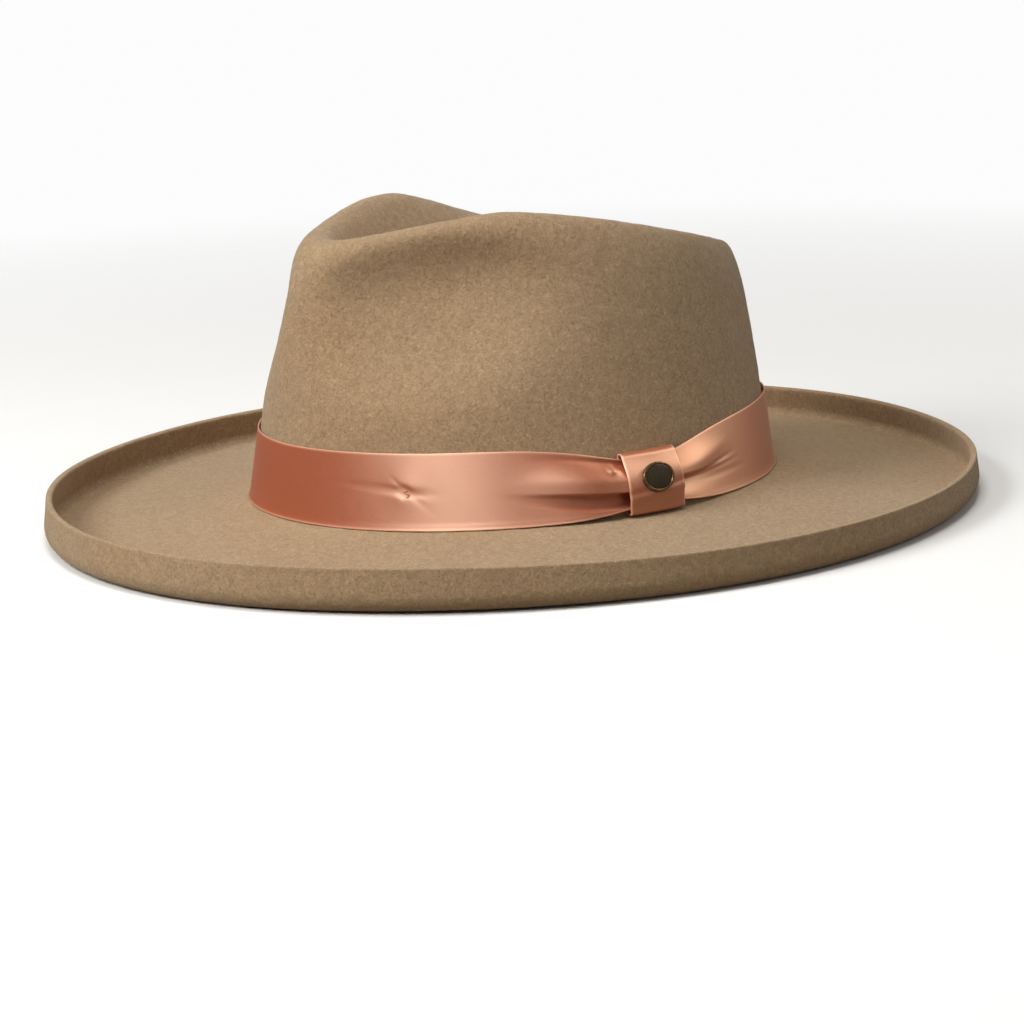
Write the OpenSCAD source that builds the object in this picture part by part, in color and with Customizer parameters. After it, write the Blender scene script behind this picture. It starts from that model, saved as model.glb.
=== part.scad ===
// Wide-brim wool felt fedora: blocked felt body with a pencil-curl brim and a teardrop crown,
// a satin ribbon band with a keeper and a small plain badge, a leather sweatband and a sewn lining.
// Millimetres. +Z up, front of the hat towards -Y, wearer's left towards +X.
// The origin is under the middle of the brim, on the surface the brim rests on.

/* [Head oval] */
// Half width of the crown's base, ear to ear, at the outside of the felt
base_hx = 85.4; // [82:0.2:90]
// Half length of the crown's base, front to back, at the outside of the felt
base_hy = 103.5; // [100:0.5:108]
// Thickness of the felt
felt_t = 2.5; // [2:0.1:3]

/* [Brim] */
// Width of the brim seen from above, from the crown's base to the outside of the curl
brim_w = 80; // [70:1:95]
// Height of the brim's top at the crown above the surface it rests on
break_z = 11.6; // [8:0.2:14]
// Inside radius of the rolled pencil edge
curl_r = 3.2; // [3:0.1:6]
// Angle the edge is rolled through
curl_turn = 97; // [85:1:105]
// Height of the rolled edge at the sides and back
rim_z = 13.7; // [12:0.1:15]
// Extra height of the rolled edge at the front
rim_front = 2.5; // [0:0.1:5]
// Radius of the fold between brim and crown
break_r = 2; // [1.5:0.5:4]

/* [Crown] */
// Highest point of the ridge
peak_z = 121.5; // [105:0.1:125]
// How far the ridge falls from the peak to the back of the crown
back_fall = 24.4; // [15:0.1:28]
// How far the ridge falls from the peak to the front tip
front_fall = 9.8; // [4:0.1:12]
// How much lower the ridge on the wearer's right runs behind the pinch
lean = 12.5; // [0:0.5:14]
// Half width of the crown's top corner behind the pinch
top_hx = 65; // [56:0.1:68]
// Half width of the crown's top corner at the pinch
pinch_hx = 51.2; // [44:0.1:56]
// Depth of the front side pinches
dent = 14.5; // [4:0.1:16]
// Depth of the teardrop crease below the ridge
crease = 24; // [14:1:28]

/* [Ribbon] */
// Height of the ribbon band above the brim
ribbon_h = 28; // [24:1:32]
// Thickness of one layer of ribbon
ribbon_t = 0.8; // [0.6:0.1:1]
// Width of the keeper loop along the band
keeper_w = 23.5; // [18:0.5:28]
// Place of the keeper round the crown, in degrees back from the wearer's left
keeper_at = 5; // [0:1:20]
// Width of the plain oval badge
badge_w = 14; // [10:0.5:16]
// Height of the plain oval badge
badge_h = 11; // [8:0.5:12]

/* [Inside] */
// Height of the sweatband's top edge
sweat_top = 46; // [38:1:50]
// Thickness of the sweatband
sweat_t = 1.2; // [1:0.1:1.6]
// Height of the seam between the lining's side and its tip
lining_top = 86; // [78:1:88]

/* [Hidden] */
felt_c = "#a8906c";
ribbon_c = "#c4745a";
leather_c = "#6f4a30";
lining_c = "#3b302a";
label_c = "#e6dfd0";
thread_c = "#b8684e";
brass_c = "#8a7145";
n_seg = 60;
seg = 360 / n_seg;
around = [for (k = [0 : n_seg - 1]) k * seg];

// Crown shape
crown_z0 = break_z + break_r;
top_back = 96.8;
top_front = 92.3;
corner_back = 8.8;
corner_front = 14.5;
full_back = 0.82;
full_front = 0.81;
full_top = 0.85;
tip_pinch = 0.25;
peak_y = -25.4;
fall_y = 80;
fall_pow = 1.43;
lean_from = -56;
lean_run = 105;
dent_at = -46.5;
dent_back = 38;
dent_front = 32;
dent_up = 0.773;
dent_low = 0.36;
dent_high = 0.207;
dent_rim = 4.2;
crease_y = 10;
crease_run = 0.62;
crease_run_tip = 0.3;
crease_bump = 4;

// Clearances and layers, all measured inwards from the outside of the felt
lining_t = 0.6;
lining_d = felt_t + 1;
lining_slack = 0.8;
sweat_d = lining_d + lining_t + 0.7;
sweat_z0 = break_z - 1.8;
reed_r = 0.9;
tape_t = 0.4;
label_t = 0.3;

// Keeper and the ribbon that runs under it
ribbon_gap = 0.3;
keeper_t = 0.8;
keeper_lift = ribbon_gap + keeper_t + 0.2;
keeper_room = 2;
squeeze_low = 3.6;
squeeze_high = 9;
badge_t = 1.5;
inlay_t = 0.4;

function ease(t) = let (u = min(1, max(0, t))) u * u * (3 - 2 * u);
function bell(x, w, p = 2) = exp(-pow(abs(x) / w, p));
function unit(v) = v / norm(v);
function wrap(a) = (a + 540) % 360 - 180;
function lerp(a, b, t) = a + (b - a) * t;
function frontness(a) = (1 - sin(a)) / 2;
function oval(a, w, z) = [(base_hx + w) * cos(a), (base_hy + w) * sin(a), z];

// Ridge height at a place along the crown, lower on the wearer's right behind the pinch
function ridge_z(a, y) =
  peak_z
  - back_fall * pow(max(y - peak_y, 0) / (fall_y - peak_y), fall_pow)
  - front_fall * pow(max(peak_y - y, 0) / (fall_y + peak_y), fall_pow)
  - lean * pow(max(-cos(a), 0), 2) * ease((y - lean_from) / lean_run);

// The corner that the wall leans to, the direction to the crown's middle, and the crest
function corner_xy(a) =
  [lerp(top_hx, pinch_hx, ease(frontness(a))) * cos(a), (sin(a) < 0 ? top_front : top_back) * sin(a), 0];
function inward(a) = unit([0, crease_y, 0] - corner_xy(a));
function crest_xy(a) =
  let (
    r = lerp(corner_back, corner_front, pow(frontness(a), 2)),
    p = corner_xy(a) + r * inward(a)
  )
  [p[0] * (1 - tip_pinch * pow(frontness(a), 5)), p[1], 0];
function up(p, z) = [p[0], p[1], z];

// How deep the front pinches are at an angle and a height share of the wall: an oval dish with a soft
// rim on each side, d degrees from its middle
function pinch(a, h) = dent * (one_pinch(wrap(a - dent_at), h) + one_pinch(wrap(180 - dent_at - a), h));
function one_pinch(d, h) =
  let (
    across = d / (d < 0 ? dent_front : dent_back),
    upwards = (h - dent_up) / (h < dent_up ? dent_low : dent_high)
  )
  ln(1 + exp(dent_rim * (1 - across * across - upwards * upwards))) / dent_rim;

// The felt's outside: s from 0 to 1 climbs the wall to the crest, and from 1 to 2 goes down the crease
function crown(a, s) = s <= 1 ? crown_wall(a, max(s, 0)) : crown_crease(a, min(s, 2) - 1);
function crown_wall(a, t) =
  let (
    foot = oval(a, 0, crown_z0),
    z = ridge_z(a, crest_xy(a)[1]),
    corner = up(corner_xy(a), z),
    crest = up(crest_xy(a), z),
    p1 = lerp(foot, corner, lerp(full_back, full_front, pow(frontness(a), 2))),
    p2 = lerp(crest, corner, full_top),
    q = foot * pow(1 - t, 3) + 3 * p1 * t * pow(1 - t, 2) + 3 * p2 * t * t * (1 - t) + crest * pow(t, 3)
  )
  q + inward(a) * pinch(a, (q[2] - crown_z0) / (z - crown_z0));
function crown_crease(a, v) =
  let (
    edge = crown_wall(a, 1),
    run = lerp(crease_run, crease_run_tip, pow(frontness(a), 3)),
    p = lerp(edge, [0, crease_y, 0], v)
  )
  up(p, lerp(edge[2], peak_z - crease, ease(v / run)) + crease_bump * ease(2 * v - 1));

// The outward direction of the felt, the share of the wall at a height, and a point at that height
// and a depth inside the felt's outer surface
function normal(a, s) =
  unit(cross(crown(a + 0.5, s) - crown(a - 0.5, s), crown(a, s + 0.01) - crown(a, max(s - 0.01, 0))));
function wall_at(a, z, lo = 0, hi = 0.9, n = 16) =
  let (mid = (lo + hi) / 2)
  n == 0 ? mid : crown_wall(a, mid)[2] < z ? wall_at(a, z, mid, hi, n - 1) : wall_at(a, z, lo, mid, n - 1);
function at_height(a, z, d) =
  let (
    s = wall_at(a, z),
    out = up(normal(a, s), 0)
  )
  up(crown(a, s) - out * d / (out * out), z);

// Rings of the felt's upper skin, from the rolled edge inwards and up the crown
curl_w = brim_w - curl_r - felt_t;
flat_w = curl_w - 9;
function rim_top(a) = rim_z + rim_front * pow(frontness(a), 2);
function curl_point(a, turn) =
  oval(a, curl_w + curl_r * sin(turn), felt_t + curl_r * (1 - cos(turn)));
function rim_point(a, up_share) =
  let (
    p = felt_t + curl_r * (1 - cos(curl_turn)),
    rise = (rim_top(a) - p) * up_share
  )
  oval(a, curl_w + curl_r * sin(curl_turn) + rise / tan(curl_turn), p + rise);
function brim_point(a, u) =
  oval(a, break_r + (flat_w - break_r) * u, felt_t + (break_z - felt_t) * pow(1 - u, 1.5));
function fold_point(a, turn) =
  oval(a, break_r * (1 - sin(turn)), break_z + break_r * (1 - cos(turn)));
function ring_of(kind, v) = [for (a = around)
  kind == "rim" ? rim_point(a, v)
  : kind == "curl" ? curl_point(a, v)
  : kind == "flat" ? oval(a, curl_w - v, felt_t)
  : kind == "brim" ? brim_point(a, v)
  : kind == "fold" ? fold_point(a, v)
  : crown(a, v)];
felt_rings = concat(
  [for (v = [1, 0.5]) ring_of("rim", v)],
  [for (v = [curl_turn : -curl_turn / 5 : 1]) ring_of("curl", v)],
  [for (v = [0, 1, 5, 9]) ring_of("flat", v)],
  [for (v = [0.75, 0.5, 0.25, 0]) ring_of("brim", v)],
  [for (v = [45]) ring_of("fold", v)],
  [for (v = [0 : 0.08 : 0.8]) ring_of("crown", v)],
  [for (v = [0.87, 0.93, 1, 1.07, 1.15, 1.25, 1.37, 1.5, 1.65, 1.8, 1.92]) ring_of("crown", v)]
);

function grid_normal(g, i, j) =
  let (n = len(g[0]), m = len(g))
  unit(cross(g[i][(j + 1) % n] - g[i][(j + n - 1) % n], g[min(i + 1, m - 1)][j] - g[max(i - 1, 0)][j]));
function offset_grid(g, d) =
  [for (i = [0 : len(g) - 1]) [for (j = [0 : len(g[0]) - 1]) g[i][j] - d * grid_normal(g, i, j)]];
function flatten(l) = [for (a = l) for (b = a) b];
function average(l, i = 0) = i == len(l) ? [0, 0, 0] : l[i] / len(l) + average(l, i + 1);

// Faces of an open sheet of rings; swap turns them over
function sheet_faces(m, n, start, swap) = [for (i = [0 : m - 2]) for (j = [0 : n - 1])
  let (
    a = start + i * n + j,
    b = start + i * n + (j + 1) % n,
    c = b + n,
    d = a + n
  )
  each swap ? [[a, c, d], [a, b, c]] : [[a, d, c], [a, c, b]]];

// A domed shell between an outer and an inner set of rings, closed by a fan at the middle
module dome(outer, inner) {
  m = len(outer);
  n = len(outer[0]);
  count = m * n;
  points = concat(flatten(outer), flatten(inner), [average(outer[m - 1])], [average(inner[m - 1])]);
  rim = [for (j = [0 : n - 1]) each
    [[j, (j + 1) % n, count + (j + 1) % n], [j, count + (j + 1) % n, count + j]]];
  fan = [for (j = [0 : n - 1]) each
    [[count - n + j, 2 * count, count - n + (j + 1) % n],
     [2 * count - n + j, 2 * count - n + (j + 1) % n, 2 * count + 1]]];
  polyhedron(points, concat(sheet_faces(m, n, 0, false), sheet_faces(m, n, count, true), rim, fan));
}

// A closed band: one closed section for each angle all the way round
module band(sections) {
  n = len(sections);
  k = len(sections[0]);
  faces = [for (i = [0 : n - 1]) for (j = [0 : k - 1])
    let (
      a = i * k + j,
      b = i * k + (j + 1) % k,
      c = (i + 1) % n * k + (j + 1) % k,
      d = (i + 1) % n * k + j
    )
    each [[a, b, c], [a, c, d]]];
  polyhedron(flatten(sections), faces);
}

// A patch: one closed section for each station, with flat ends
module patch(sections) {
  n = len(sections);
  k = len(sections[0]);
  sides = [for (i = [0 : n - 2]) for (j = [0 : k - 1])
    let (
      a = i * k + j,
      b = i * k + (j + 1) % k,
      c = b + k,
      d = a + k
    )
    each [[a, b, c], [a, c, d]]];
  ends = [[for (j = [k - 1 : -1 : 0]) j], [for (j = [0 : k - 1]) (n - 1) * k + j]];
  polyhedron(flatten(sections), concat(sides, ends));
}

// A closed section: its outer face going up, then its inner face coming down. The lower edge of
// what stands in the sweatband's place hangs straight down below the crown's foot.
function inside_point(a, z, d) = z < crown_z0 ? oval(a, -d, z) : at_height(a, z, d);
function section(a, heights, outer, inner) = concat(
  [for (z = heights) inside_point(a, z, outer)],
  [for (k = [len(heights) - 1 : -1 : 0]) inside_point(a, heights[k], inner)]);
function steps(lo, hi, n) = [for (k = [0 : n]) lo + (hi - lo) * k / n];

// Stands its children on the felt at an angle and height: x along the band, y up, z outwards
module on_band(a, z, d) {
  p = at_height(a, z, d);
  out = normal(a, wall_at(a, z));
  side = unit(cross([0, 0, 1], out));
  rise = cross(out, side);
  multmatrix([
    [side[0], rise[0], out[0], p[0]],
    [side[1], rise[1], out[1], p[1]],
    [side[2], rise[2], out[2], p[2]],
    [0, 0, 0, 1]])
    children();
}

// One stitch: a short thread lying along x
module stitch(length, r = 0.25) {
  rotate([0, 90, 0]) cylinder(h = length, r = r, center = true, $fn = 16);
}

module felt_body() {
  color(felt_c) dome(felt_rings, offset_grid(felt_rings, felt_t));
}

// How much the ribbon is lifted and squeezed at the keeper, where its two ends lie on each other
function lifted(a) = bell(wrap(a - keeper_at), 17, 6);
function lower_squeeze(a) = squeeze_low * bell(wrap(a - keeper_at), 13, 1.8);
function upper_squeeze(a) = squeeze_high * bell(wrap(a - keeper_at), 17, 1.6);
function ribbon_in(a) = -ribbon_gap - (keeper_lift - ribbon_gap) * lifted(a);
function ribbon_out(a) = ribbon_in(a) - ribbon_t * (1 + lifted(a));
function ribbon_low(a) = break_z + 0.5 + lower_squeeze(a);
function ribbon_high(a) = break_z + ribbon_h - upper_squeeze(a);
function flare(a, z) = 0.8 * bell(z - break_z, 1.6);
function off_wall(a, z, d) =
  z < crown_z0 ? oval(a, -d + flare(a, z), z) : at_height(a, z, d - flare(a, z));
ribbon_angles = concat([for (a = [keeper_at - 28 : 4 : keeper_at + 28]) a],
  [for (a = [keeper_at + 34 : 6 : keeper_at + 328]) a]);

module hat_band() {
  color(ribbon_c)
    band([for (a = ribbon_angles)
      let (hs = concat([ribbon_low(a)], steps(max(crown_z0, ribbon_low(a) + 0.6), ribbon_high(a), 4)))
      concat(
        [for (z = hs) off_wall(a, z, ribbon_out(a))],
        [for (k = [len(hs) - 1 : -1 : 0]) off_wall(a, hs[k], ribbon_in(a))])]);
}

// At the side of the head the band runs nearly front to back, so base_hy turns widths into angles
keeper_half = keeper_w / 2 / base_hy * 180 / PI;
keeper_low = break_z + squeeze_low - 1;
keeper_high = break_z + ribbon_h - squeeze_high + 2.8;
keeper_front = keeper_lift + 2 * ribbon_t + keeper_room;
// The keeper's loop: up the front, over the top edge, and down between ribbon and felt
function keeper_loop(a, grow) = concat(
  [for (z = steps(keeper_low - grow, keeper_high + grow, 5)) off_wall(a, z, -keeper_front - grow)],
  [for (z = steps(keeper_high + grow, keeper_low - grow, 5))
    off_wall(a, z, -keeper_lift + 0.2 + grow)]);

// Two slits in the keeper's front, which the badge's prongs go through
module keeper_slots() {
  for (x = [-badge_w / 4, badge_w / 4])
    on_band(keeper_at, badge_z, -keeper_front - keeper_t / 2)
      translate([x, 0, 0]) cube([1, 2, 3 * keeper_t], center = true);
}

module band_keeper() {
  angles = steps(keeper_at - keeper_half, keeper_at + keeper_half, 6);
  color(ribbon_c)
    difference() {
      patch([for (a = angles) keeper_loop(a, keeper_t)]);
      patch([for (a = concat([angles[0] - 1], angles, [angles[6] + 1])) keeper_loop(a, 0)]);
      keeper_slots();
    }
}

badge_z = break_z + ribbon_h / 2 - 0.3;
badge_off = keeper_front + keeper_t + 0.1;
function ellipse_points(w, h) = [for (a = [0 : 10 : 350]) [w / 2 * cos(a), h / 2 * sin(a)]];

module badge_rim() {
  color(brass_c)
    on_band(keeper_at, badge_z, -badge_off) {
      difference() {
        linear_extrude(badge_t) polygon(ellipse_points(badge_w, badge_h));
        translate([0, 0, badge_t - 0.7]) linear_extrude(1) polygon(ellipse_points(badge_w - 2, badge_h - 2));
      }
      for (x = [-badge_w / 4, badge_w / 4])
        translate([x, 0, -(keeper_t + 0.7) / 2 + 0.05]) cube([0.6, 1.6, keeper_t + 0.7], center = true);
    }
}

module badge_inlay() {
  color("#26251f")
    on_band(keeper_at, badge_z, -badge_off)
      translate([0, 0, badge_t - 0.7 + 0.05])
        linear_extrude(inlay_t) polygon(ellipse_points(badge_w - 2.2, badge_h - 2.2));
}

module badge_backing() {
  color(brass_c)
    on_band(keeper_at, badge_z, -badge_off)
      translate([0, 0, -keeper_t - 0.6])
        difference() {
          cube([badge_w - 4, 5, 0.3], center = true);
          for (x = [-badge_w / 4, badge_w / 4])
            translate([x, 0, 0]) cube([0.9, 2, 1], center = true);
        }
}

// The ribbon's ends are sewn together a little behind the keeper's middle
join_at = keeper_at + 3;
module band_join_stitches() {
  color(thread_c)
    for (z = [-1, 1])
      for (k = [-1 : 1])
        on_band(join_at, (keeper_low + keeper_high) / 2 + 5 * z + 1.6 * k, ribbon_out(join_at) - 0.35)
          rotate([0, 0, 70]) stitch(1.4, 0.2);
}

module keeper_stitches() {
  color(thread_c)
    for (k = [-2 : 2]) {
      a = keeper_at + k * 2.5;
      translate(off_wall(a, keeper_low - keeper_t - 0.3, -keeper_front / 2))
        rotate([0, 0, a]) stitch(1.6, 0.2);
    }
}

tack_angles = [-49, -131, 96, 172];
module band_tack_stitches() {
  color(thread_c)
    for (a = tack_angles)
      for (k = [-1, 1])
        on_band(a, break_z + ribbon_h / 2 + 0.4 * k, ribbon_out(a) - 0.3)
          rotate([0, 0, 8 * k]) stitch(2, 0.2);
}

sweat_heights = concat([sweat_z0], steps(crown_z0 + 0.5, sweat_top, 4));
sweat_in = sweat_d + sweat_t;
module sweatband() {
  color(leather_c) band([for (a = around) section(a, sweat_heights, sweat_d, sweat_in)]);
}

// The reed is a round cord inside the folded tape under the sweatband's lower edge
reed_d = sweat_d + sweat_t / 2;
reed_z = sweat_z0 - 0.3 - reed_r;
function rod_section(a, d, z, r) =
  [for (b = [0 : 45 : 315]) oval(a, -d + r * cos(b), z + r * sin(b))];

module sweatband_reed() {
  color("#d8d2c4") band([for (a = around) rod_section(a, reed_d, reed_z, reed_r)]);
}

module reed_tape() {
  inside = reed_r + 0.1;
  outside = inside + tape_t;
  color(leather_c)
    band([for (a = around) concat(
      [oval(a, -reed_d - outside, reed_z + 0.8)],
      [for (b = [0 : -45 : -180]) oval(a, -reed_d - outside * cos(b), reed_z + outside * sin(b))],
      [oval(a, -reed_d + outside, reed_z + 0.8), oval(a, -reed_d + inside, reed_z + 0.8)],
      [for (b = [-180 : 45 : 0]) oval(a, -reed_d - inside * cos(b), reed_z + inside * sin(b))],
      [oval(a, -reed_d - inside, reed_z + 0.8)])]);
}

stitch_count = 72;
module sweatband_stitches() {
  color("#caa987")
    for (k = [0 : stitch_count - 1]) {
      a = (k + 0.5) * 360 / stitch_count;
      on_band(a, crown_z0 + 1.2, sweat_in + 0.5) stitch(4);
    }
}

back = 90;
module sweatband_seam_tape() {
  color(leather_c)
    patch([for (a = steps(back - 3.2, back + 3.2, 4))
      section(a, steps(crown_z0 + 2.2, sweat_top - 1, 4), sweat_in + 0.25, sweat_in + 0.65)]);
}

module sweatband_bow() {
  color(leather_c)
    on_band(back, crown_z0 + 9, sweat_in + 1.3)
      rotate([0, 180, 0])
        linear_extrude(0.6) {
          for (s = [-1, 1])
            scale([s, 1, 1]) polygon([[1.2, -1], [7, -3.4], [8, -2.6], [8, 2.6], [7, 3.4], [1.2, 1]]);
          square([3, 3], center = true);
        }
}

// The lining hangs a little looser above the sweatband
function slack(z) = lining_slack * ease((z - sweat_top) / 20);
function lining_section(a) =
  let (hs = steps(20, lining_top, 12))
  concat(
    [for (z = hs) at_height(a, z, lining_d + slack(z))],
    [for (k = [len(hs) - 1 : -1 : 0]) at_height(a, hs[k], lining_d + slack(hs[k]) + lining_t)]);

module lining_side() {
  color(lining_c)
    band([for (a = around) lining_section(a)]);
}

tip_d = lining_d + lining_slack + lining_t + 0.4;
tip_rise = 1.6;
function tip_ring(v, z) = [for (a = around)
  let (p = at_height(a, lining_top - 1, tip_d))
  up(lerp(p, [0, crease_y, 0], v), z + tip_rise * (1 - pow(1 - v, 2)))];

module lining_tip() {
  shares = [0, 0.15, 0.35, 0.6, 0.85];
  color(lining_c)
    dome([for (v = shares) tip_ring(v, lining_top - 0.4)], [for (v = shares) tip_ring(v, lining_top - 1)]);
}

module lining_piping() {
  r = 0.8;
  color("#2c2420")
    band([for (a = around)
      let (p = at_height(a, lining_top - 1, tip_d + r))
      [for (b = [0 : 60 : 300])
        up(p - inward(a) * r * cos(b), lining_top - 1.2 - r + r * sin(b))]]);
}

module size_label() {
  color(label_c)
    patch([for (a = steps(back - 17, back - 10, 4))
      section(a, steps(crown_z0 + 6, crown_z0 + 18, 3), sweat_in + 0.25, sweat_in + 0.25 + label_t)]);
}

function care_section(a, hs) = concat(
  [for (z = hs) at_height(a, z, label_d + slack(z))],
  [for (k = [len(hs) - 1 : -1 : 0]) at_height(a, hs[k], label_d + slack(hs[k]) + label_t)]);
label_d = lining_d + lining_t + 0.2;

module care_label() {
  color(label_c)
    patch([for (a = steps(back + 14, back + 25, 5))
      care_section(a, steps(sweat_top - 8, sweat_top + 22, 5))]);
}

felt_body();
hat_band();
band_keeper();
band_join_stitches();
keeper_stitches();
band_tack_stitches();
badge_rim();
badge_inlay();
badge_backing();
sweatband();
sweatband_reed();
reed_tape();
sweatband_stitches();
sweatband_seam_tape();
sweatband_bow();
lining_side();
lining_tip();
lining_piping();
size_label();
care_label();
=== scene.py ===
"""Looks of the wide-brim wool felt fedora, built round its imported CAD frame.

Shapes are worked out in millimetres with the same formulas as the CAD part, and scaled to metres as
each mesh is made. +Z is up, the front of the hat is towards -Y and the wearer's left towards +X.
Angles are in degrees, measured round the hat from +X towards the back (+Y).
"""

import math

import bmesh
import bpy
import numpy as np
from mathutils import Matrix, Vector, noise


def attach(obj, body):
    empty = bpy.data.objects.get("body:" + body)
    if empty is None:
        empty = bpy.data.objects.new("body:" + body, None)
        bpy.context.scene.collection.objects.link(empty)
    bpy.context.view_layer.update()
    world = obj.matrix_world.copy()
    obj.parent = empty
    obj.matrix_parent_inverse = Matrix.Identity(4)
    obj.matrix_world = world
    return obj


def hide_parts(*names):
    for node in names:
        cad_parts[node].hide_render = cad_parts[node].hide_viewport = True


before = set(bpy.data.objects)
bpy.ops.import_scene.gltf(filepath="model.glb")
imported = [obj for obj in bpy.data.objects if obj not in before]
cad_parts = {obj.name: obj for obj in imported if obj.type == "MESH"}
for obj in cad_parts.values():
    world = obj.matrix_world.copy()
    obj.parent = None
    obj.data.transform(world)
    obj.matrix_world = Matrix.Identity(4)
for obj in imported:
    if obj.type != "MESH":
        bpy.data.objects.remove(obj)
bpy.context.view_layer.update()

MM = 0.001

# Driving dimensions, the same as the CAD part's
BASE_HX = 85.4
BASE_HY = 103.5
FELT_T = 2.5
BRIM_W = 80
BREAK_Z = 11.6
CURL_R = 3.2
CURL_TURN = 97
RIM_Z = 13.7
RIM_FRONT = 2.5
BREAK_R = 2
PEAK_Z = 121.5
BACK_FALL = 24.4
FRONT_FALL = 9.8
LEAN = 12.5
TOP_HX = 65
PINCH_HX = 51.2
DENT = 14.5
CREASE = 24
RIBBON_H = 28
KEEPER_W = 23.5
KEEPER_AT = 5
BADGE_W = 14
BADGE_H = 11
SWEAT_TOP = 46
SWEAT_T = 1.2
LINING_TOP = 86

# Crown shape
CROWN_Z0 = BREAK_Z + BREAK_R
FLARE = 0.8
FLARE_RUN = 1.6
TOP_BACK = 96.8
TOP_FRONT = 92.3
CORNER_BACK = 8.8
CORNER_FRONT = 14.5
FULL_BACK = 0.82
FULL_FRONT = 0.81
FULL_TOP = 0.85
TIP_PINCH = 0.25
PEAK_Y = -25.4
FALL_Y = 80
FALL_POW = 1.43
LEAN_FROM = -56
LEAN_RUN = 105
DENT_AT = -46.5
DENT_BACK = 38
DENT_FRONT = 32
DENT_UP = 0.773
DENT_LOW = 0.36
DENT_HIGH = 0.207
DENT_RIM = 4.2
CREASE_MIDDLE = np.array([0, 10, 0])
CREASE_RUN = 0.62
CREASE_RUN_TIP = 0.3
CREASE_BUMP = 4

# Layers, as depths below the outside of the felt
LINING_T = 0.6
LINING_D = FELT_T + 1
LINING_SLACK = 0.8
SWEAT_D = LINING_D + LINING_T + 0.7
SWEAT_IN = SWEAT_D + SWEAT_T
SWEAT_Z0 = BREAK_Z - 1.8
REED_R = 0.9
REED_D = SWEAT_D + SWEAT_T / 2
REED_Z = SWEAT_Z0 - 0.3 - REED_R
BACK = 90
TACKS = (-49, -131, 96, 172)


# ---- small maths
def cosd(a):
    return np.cos(np.radians(a))


def sind(a):
    return np.sin(np.radians(a))


def ease(t):
    u = np.clip(t, 0, 1)
    return u * u * (3 - 2 * u)


def bell(x, w, p=2.0):
    return np.exp(-((np.abs(x) / w) ** p))


def wrap(a):
    return (np.asarray(a) + 540) % 360 - 180


def lerp(p, q, t):
    return p + (q - p) * t


def matched(*values):
    """The values as arrays of one shape."""
    return np.broadcast_arrays(*(np.asarray(v, float) for v in values))


def points(x, y, z):
    return np.stack(matched(x, y, z), -1)


def grid(rows, columns):
    return np.meshgrid(rows, columns, indexing="ij")


def full_turn(count):
    """Angles at that many even steps of a full turn."""
    return np.arange(count) * 360 / count


def unit(v):
    return v / np.maximum(np.linalg.norm(v, axis=-1, keepdims=True), 1e-9)


def wide(t):
    """A number for each point, made ready to multiply that point."""
    return np.asarray(t, float)[..., None]


def raised(p, z):
    return points(p[..., 0], p[..., 1], z)


def ripple(x, seed, waves):
    """A smooth wandering line that repeats every 360 degrees: waves is a list of (how many, how strong)."""
    return sum(size * np.sin(np.radians(n * x) + seed * (k + 1.7)) for k, (n, size) in enumerate(waves))


def grain(p, size, seed=0.0):
    """Smooth noise from -1 to 1 at each point, with lumps of about that size."""
    flat = p.reshape(-1, 3) / size + seed
    return np.array([noise.noise(Vector(q)) for q in flat]).reshape(p.shape[:-1])


# ---- the hat's shape
def frontness(a):
    return (1 - sind(a)) / 2


def oval(a, w, z):
    return points((BASE_HX + w) * cosd(a), (BASE_HY + w) * sind(a), z)


def ridge_z(a, y):
    back = np.maximum(y - PEAK_Y, 0) / (FALL_Y - PEAK_Y)
    front = np.maximum(PEAK_Y - y, 0) / (FALL_Y + PEAK_Y)
    lean = LEAN * np.maximum(-cosd(a), 0) ** 2 * ease((y - LEAN_FROM) / LEAN_RUN)
    return PEAK_Z - BACK_FALL * back**FALL_POW - FRONT_FALL * front**FALL_POW - lean


def corner_xy(a):
    reach = np.where(sind(a) < 0, TOP_FRONT, TOP_BACK)
    return points(lerp(TOP_HX, PINCH_HX, ease(frontness(a))) * cosd(a), reach * sind(a), 0)


def inward(a):
    return unit(CREASE_MIDDLE - corner_xy(a))


def crest_xy(a):
    p = corner_xy(a) + wide(lerp(CORNER_BACK, CORNER_FRONT, frontness(a) ** 2)) * inward(a)
    p[..., 0] *= 1 - TIP_PINCH * frontness(a) ** 5
    return p


def one_pinch(d, h):
    """An oval dish with a soft rim, d degrees from its middle and h up the wall."""
    across = d / np.where(d < 0, DENT_FRONT, DENT_BACK)
    upwards = (h - DENT_UP) / np.where(h < DENT_UP, DENT_LOW, DENT_HIGH)
    return np.logaddexp(0, DENT_RIM * (1 - across**2 - upwards**2)) / DENT_RIM


def pinch(a, h):
    """How deep the front pinches are at an angle and a share of the wall's height."""
    return DENT * (one_pinch(wrap(a - DENT_AT), h) + one_pinch(wrap(180 - DENT_AT - a), h))


def crown_wall(a, t):
    a, t = matched(a, t)
    crest = crest_xy(a)
    z = ridge_z(a, crest[..., 1])
    crest = raised(crest, z)
    corner = raised(corner_xy(a), z)
    foot = oval(a, 0, CROWN_Z0)
    low = lerp(foot, corner, wide(lerp(FULL_BACK, FULL_FRONT, frontness(a) ** 2)))
    high = lerp(crest, corner, FULL_TOP)
    t = wide(t)
    q = foot * (1 - t) ** 3 + 3 * low * t * (1 - t) ** 2 + 3 * high * t * t * (1 - t) + crest * t**3
    return q + inward(a) * wide(pinch(a, (q[..., 2] - CROWN_Z0) / (z - CROWN_Z0)))


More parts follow.
